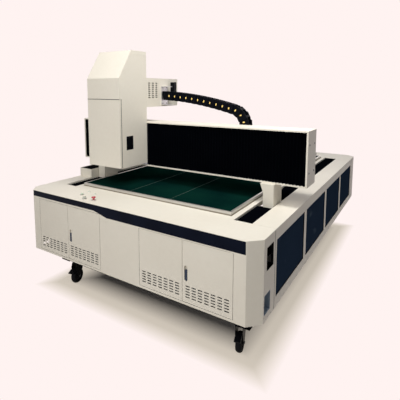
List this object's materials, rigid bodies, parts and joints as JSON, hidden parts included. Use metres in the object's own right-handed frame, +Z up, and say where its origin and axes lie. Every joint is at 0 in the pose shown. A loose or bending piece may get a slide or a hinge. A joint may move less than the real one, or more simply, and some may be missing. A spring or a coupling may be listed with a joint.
{
  "type": "laser drilling machine",
  "caption": "Gantry laser drilling machine: white cabinet on castors, green table, sliding beam with bellows and cable chain, laser head tower, doors, covers and controls.",
  "frame": {"origin": "on the floor, under the middle of the machine", "axes": "+Y towards the rear, the front doors face -Y, +X to the right seen from the front, +Z up"},
  "size_m": [2.224, 3.18, 2.062],
  "materials": {
    "white_paint": "white powder coat",
    "grey_paint": "grey powder coat",
    "bed_paint": "dark grey paint",
    "band_black": "gloss black-blue coat",
    "table_green": "gloss green coat",
    "dark_glass": "dark tinted glass",
    "trim_metal": "anodised",
    "guide_steel": "ground steel",
    "recess_blue": "blue-grey paint",
    "pleat_black": "coated black fabric",
    "chain_plastic": "black moulded plastic",
    "gland_black": "black moulded plastic",
    "bracket_zinc": "bright zinc plate",
    "handle_paint": "blue-grey paint",
    "red_plastic": "gloss red",
    "green_plastic": "pale green",
    "knob_grey": "grey",
    "collar_metal": "satin",
    "laser_metal": "anodised",
    "castor_black": "black powder coat",
    "wheel_rubber": "black rubber",
    "pedal_black": "black moulded plastic"
  },
  "bodies": {
    "base": {"base_frame": "bed_paint", "front_fascia": "white_paint", "front_band": "band_black", "front_cover": "white_paint", "rear_cover": "white_paint", "side_cover_left": "white_paint", "side_cover_right": "white_paint", "side_frames": "white_paint", "side_windows": "dark_glass", "corner_panels": "white_paint", "rear_fascia": "white_paint", "service_recess": "recess_blue", "table_panels": "table_green", "table_trim": "trim_metal", "y_guides": "guide_steel", "drive_cabinet": "grey_paint", "laser_supply": "grey_paint", "hinge_pins": "guide_steel", "control_collars": "collar_metal", "castor_plates": "castor_black"},
    "door_left_outer": {"door_left_outer": "white_paint"},
    "door_left_inner": {"door_left_inner": "white_paint"},
    "door_right_inner": {"door_right_inner": "white_paint"},
    "door_right_outer": {"door_right_outer": "white_paint"},
    "handle_left": {"handle_left": "handle_paint"},
    "handle_right": {"handle_right": "handle_paint"},
    "estop": {"estop_button": "red_plastic"},
    "start": {"start_button": "green_plastic"},
    "knob": {"mode_knob": "knob_grey"},
    "gantry": {"column_left": "white_paint", "column_right": "white_paint", "beam": "white_paint", "beam_ends": "trim_metal", "bellows_left": "pleat_black", "bellows_right": "pleat_black", "x_guides": "guide_steel", "chain_tray": "trim_metal", "chain_lower": "chain_plastic"},
    "chain_loop": {"chain_bend": "chain_plastic"},
    "head": {"x_carriage": "laser_metal", "tower_shell": "white_paint", "tower_window": "gland_black", "rear_box": "white_paint", "chain_bracket": "bracket_zinc", "cable_gland": "gland_black", "chain_upper": "chain_plastic"},
    "tower_door": {"tower_door": "white_paint"},
    "laser": {"laser_module": "laser_metal"},
    "fork_front_left": {"castor_fork_front_left": "castor_black"},
    "wheel_front_left": {"castor_wheel_front_left": "wheel_rubber"},
    "pedal_front_left": {"castor_pedal_front_left": "pedal_black"},
    "fork_front_right": {"castor_fork_front_right": "castor_black"},
    "wheel_front_right": {"castor_wheel_front_right": "wheel_rubber"},
    "pedal_front_right": {"castor_pedal_front_right": "pedal_black"},
    "fork_rear_left": {"castor_fork_rear_left": "castor_black"},
    "wheel_rear_left": {"castor_wheel_rear_left": "wheel_rubber"},
    "pedal_rear_left": {"castor_pedal_rear_left": "pedal_black"},
    "fork_rear_right": {"castor_fork_rear_right": "castor_black"},
    "wheel_rear_right": {"castor_wheel_rear_right": "wheel_rubber"},
    "pedal_rear_right": {"castor_pedal_rear_right": "pedal_black"}
  },
  "joints": [
    {"name": "gantry_y", "type": "slide", "parent": "base", "child": "gantry", "axis": [0, 1, 0], "range_m": [-0.36, 1.93]},
    {"name": "head_x", "type": "slide", "parent": "gantry", "child": "head", "axis": [1, 0, 0], "range_m": [0, 1.1], "deforming": ["bellows_left", "bellows_right", "chain_upper"]},
    {"name": "chain_follow", "type": "slide", "parent": "gantry", "child": "chain_loop", "axis": [1, 0, 0], "range_m": [0, 0.55], "deforming": ["chain_lower"]},
    {"name": "z_axis", "type": "slide", "parent": "head", "child": "laser", "axis": [0, 0, 1], "range_m": [-0.14, 0]},
    {"name": "door_left_outer_hinge", "type": "hinge", "parent": "base", "child": "door_left_outer", "pos_m": [-0.888, -1.585, 0.622], "axis": [0, 0, -1], "range_deg": [0, 105]},
    {"name": "door_left_inner_hinge", "type": "hinge", "parent": "base", "child": "door_left_inner", "pos_m": [-0.195, -1.585, 0.622], "axis": [0, 0, 1], "range_deg": [0, 105]},
    {"name": "door_right_inner_hinge", "type": "hinge", "parent": "base", "child": "door_right_inner", "pos_m": [0.195, -1.585, 0.609], "axis": [0, 0, -1], "range_deg": [0, 105]},
    {"name": "door_right_outer_hinge", "type": "hinge", "parent": "base", "child": "door_right_outer", "pos_m": [0.888, -1.585, 0.609], "axis": [0, 0, 1], "range_deg": [0, 105]},
    {"name": "handle_left_pivot", "type": "hinge", "parent": "door_left_inner", "child": "handle_left", "pos_m": [-0.514, -1.585, 0.56], "axis": [1, 0, 0], "range_deg": [0, 40], "stiffness_Nm_per_rad": 0.2, "springref_deg": -8.59},
    {"name": "handle_right_pivot", "type": "hinge", "parent": "door_right_outer", "child": "handle_right", "pos_m": [0.569, -1.585, 0.56], "axis": [1, 0, 0], "range_deg": [0, 40], "stiffness_Nm_per_rad": 0.2, "springref_deg": -8.59},
    {"name": "tower_door_hinge", "type": "hinge", "parent": "head", "child": "tower_door", "pos_m": [-0.659, -1.233, 1.375], "axis": [0, 0, -1], "range_deg": [0, 110]},
    {"name": "estop_press", "type": "slide", "parent": "base", "child": "estop", "axis": [0, 0, -1], "range_m": [0, 0.004], "stiffness_N_per_m": 800},
    {"name": "start_press", "type": "slide", "parent": "base", "child": "start", "axis": [0, 0, -1], "range_m": [0, 0.003], "stiffness_N_per_m": 800},
    {"name": "mode_turn", "type": "hinge", "parent": "base", "child": "knob", "pos_m": [-0.406, -1.534, 0.91], "axis": [0, 0, 1], "range_deg": [-45, 45]},
    {"name": "swivel_front_left", "type": "hinge", "parent": "base", "child": "fork_front_left", "pos_m": [-0.81, -1.277, 0.19], "axis": [0, 0, 1], "continuous": true},
    {"name": "roll_front_left", "type": "hinge", "parent": "fork_front_left", "child": "wheel_front_left", "pos_m": [-0.80293, -1.31026, 0.066], "axis": [0.9781, 0.2079, 0], "continuous": true},
    {"name": "brake_front_left", "type": "hinge", "parent": "fork_front_left", "child": "pedal_front_left", "pos_m": [-0.79669, -1.3396, 0.14], "axis": [0.9781, 0.2079, 0], "range_deg": [0, 16]},
    {"name": "swivel_front_right", "type": "hinge", "parent": "base", "child": "fork_front_right", "pos_m": [0.81, -1.277, 0.19], "axis": [0, 0, 1], "continuous": true},
    {"name": "roll_front_right", "type": "hinge", "parent": "fork_front_right", "child": "wheel_front_right", "pos_m": [0.81707, -1.31026, 0.066], "axis": [0.9781, 0.2079, 0], "continuous": true},
    {"name": "brake_front_right", "type": "hinge", "parent": "fork_front_right", "child": "pedal_front_right", "pos_m": [0.82331, -1.3396, 0.14], "axis": [0.9781, 0.2079, 0], "range_deg": [0, 16]},
    {"name": "swivel_rear_left", "type": "hinge", "parent": "base", "child": "fork_rear_left", "pos_m": [-0.81, 1.277, 0.19], "axis": [0, 0, 1], "continuous": true},
    {"name": "roll_rear_left", "type": "hinge", "parent": "fork_rear_left", "child": "wheel_rear_left", "pos_m": [-0.80293, 1.31026, 0.066], "axis": [-0.9781, 0.2079, 0], "continuous": true},
    {"name": "brake_rear_left", "type": "hinge", "parent": "fork_rear_left", "child": "pedal_rear_left", "pos_m": [-0.79669, 1.3396, 0.14], "axis": [-0.9781, 0.2079, 0], "range_deg": [0, 16]},
    {"name": "swivel_rear_right", "type": "hinge", "parent": "base", "child": "fork_rear_right", "pos_m": [0.81, 1.277, 0.19], "axis": [0, 0, 1], "continuous": true},
    {"name": "roll_rear_right", "type": "hinge", "parent": "fork_rear_right", "child": "wheel_rear_right", "pos_m": [0.80293, 1.31026, 0.066], "axis": [-0.9781, -0.2079, 0], "continuous": true},
    {"name": "brake_rear_right", "type": "hinge", "parent": "fork_rear_right", "child": "pedal_rear_right", "pos_m": [0.79669, 1.3396, 0.14], "axis": [-0.9781, -0.2079, 0], "range_deg": [0, 16]}
  ],
  "couplings": [
    {"joint": "chain_follow", "follows": "head_x", "ratio": 0.5}
  ]
}
